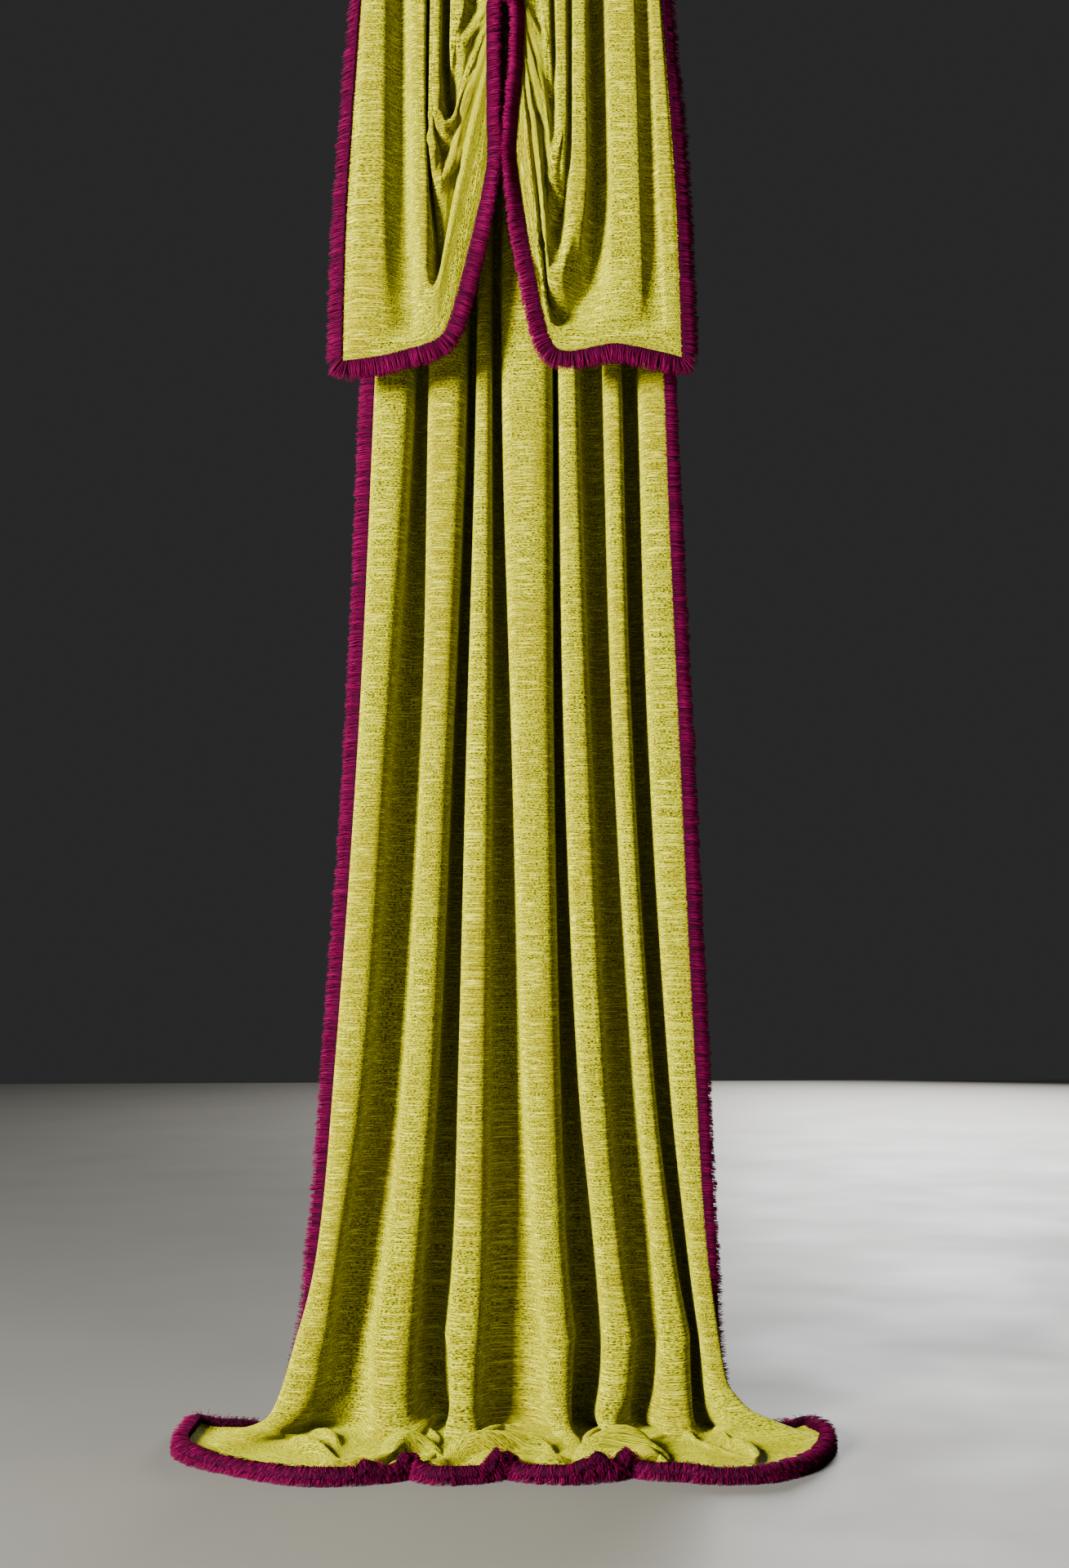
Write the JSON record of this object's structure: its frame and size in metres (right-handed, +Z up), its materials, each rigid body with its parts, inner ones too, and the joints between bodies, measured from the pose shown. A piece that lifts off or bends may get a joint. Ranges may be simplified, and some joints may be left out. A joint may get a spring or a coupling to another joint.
{
  "type": "velvet curtain",
  "caption": "Floor-length velvet curtain in uneven hanging folds that spread on the floor, with a shorter panel in front drawn up into a slit, and a cut brush fringe on every edge.",
  "frame": {"origin": "middle of the top edge that the curtain hangs by; the floor is 2.90 m below it", "axes": "+Z up, the front faces -Y, +X to the right as its front is seen"},
  "size_m": [1.2596, 0.5032, 2.9007],
  "materials": {
    "velvet": "olive-gold slub velvet with pale horizontal slubs",
    "fringe": "magenta cut brush fringe"
  },
  "bodies": {
    "root": {"main_panel": "velvet", "overlay_panel": "velvet", "main_fringe_left": "fringe", "main_fringe_hem": "fringe", "main_fringe_right": "fringe", "overlay_fringe_left": "fringe", "overlay_fringe_hem": "fringe", "overlay_fringe_right": "fringe"}
  },
  "joints": []
}
